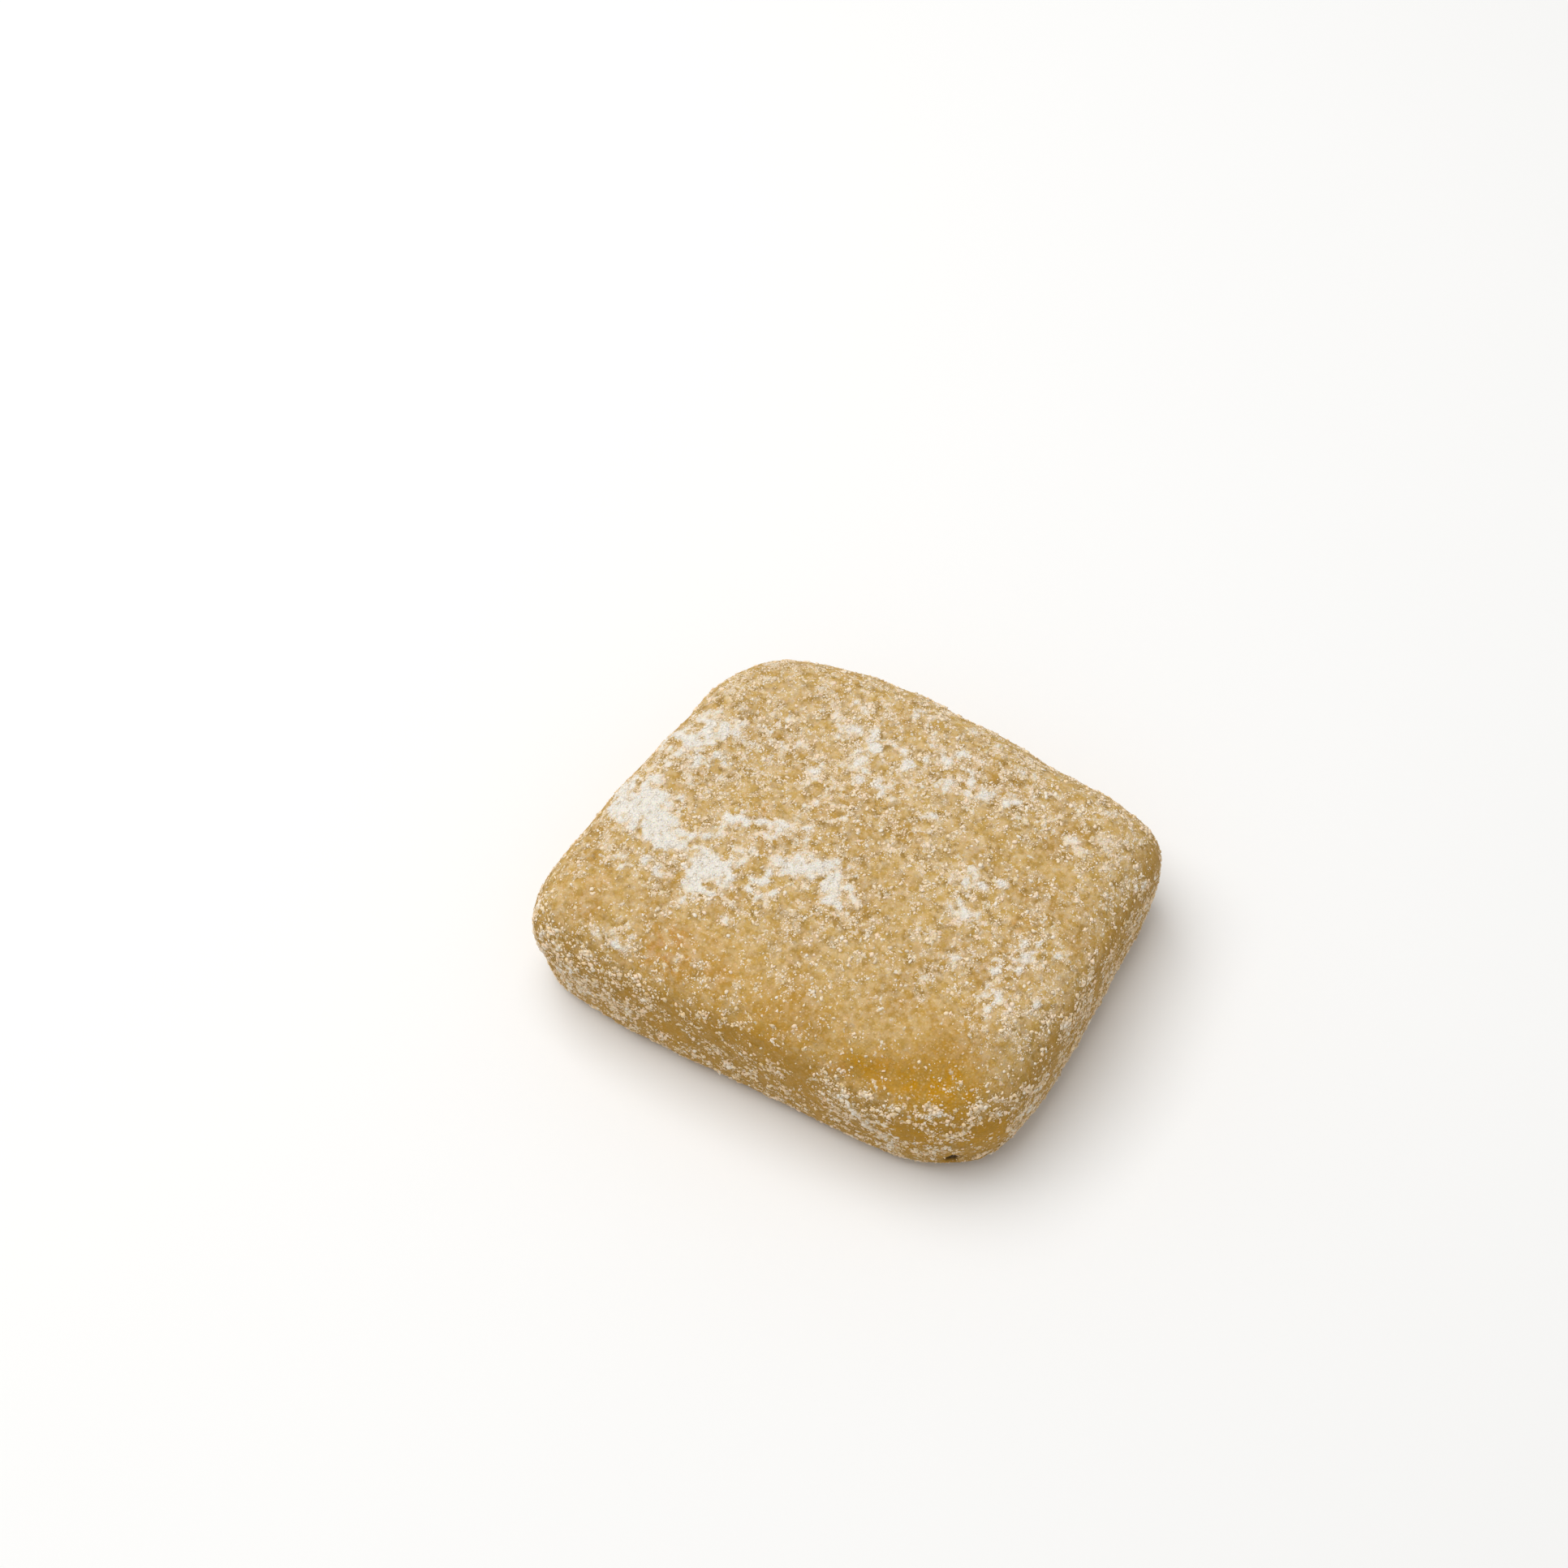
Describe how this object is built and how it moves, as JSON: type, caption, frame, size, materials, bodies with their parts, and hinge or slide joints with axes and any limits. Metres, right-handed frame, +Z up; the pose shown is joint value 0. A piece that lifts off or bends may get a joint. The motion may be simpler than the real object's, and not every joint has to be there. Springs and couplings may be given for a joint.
{
  "type": "pani aluwa",
  "caption": "Soft treacle and rice flour sweet: a thick, slightly skewed four-sided slab with rounded corners and edges, a gently domed top and a flat underside, dusted with flour.",
  "frame": {"origin": "bottom centre of the box round the piece, on its flat underside", "axes": "+Z up from the underside to the top; +X along the longer, straight front cut, which faces -Y"},
  "size_m": [0.0528, 0.0426, 0.0167],
  "materials": {
    "dough": "soft golden brown treacle dough, slightly moist, with a veil of flour",
    "rice_flour": "dry off-white roasted rice flour"
  },
  "bodies": {
    "root": {"aluwa": "dough"}
  },
  "joints": []
}
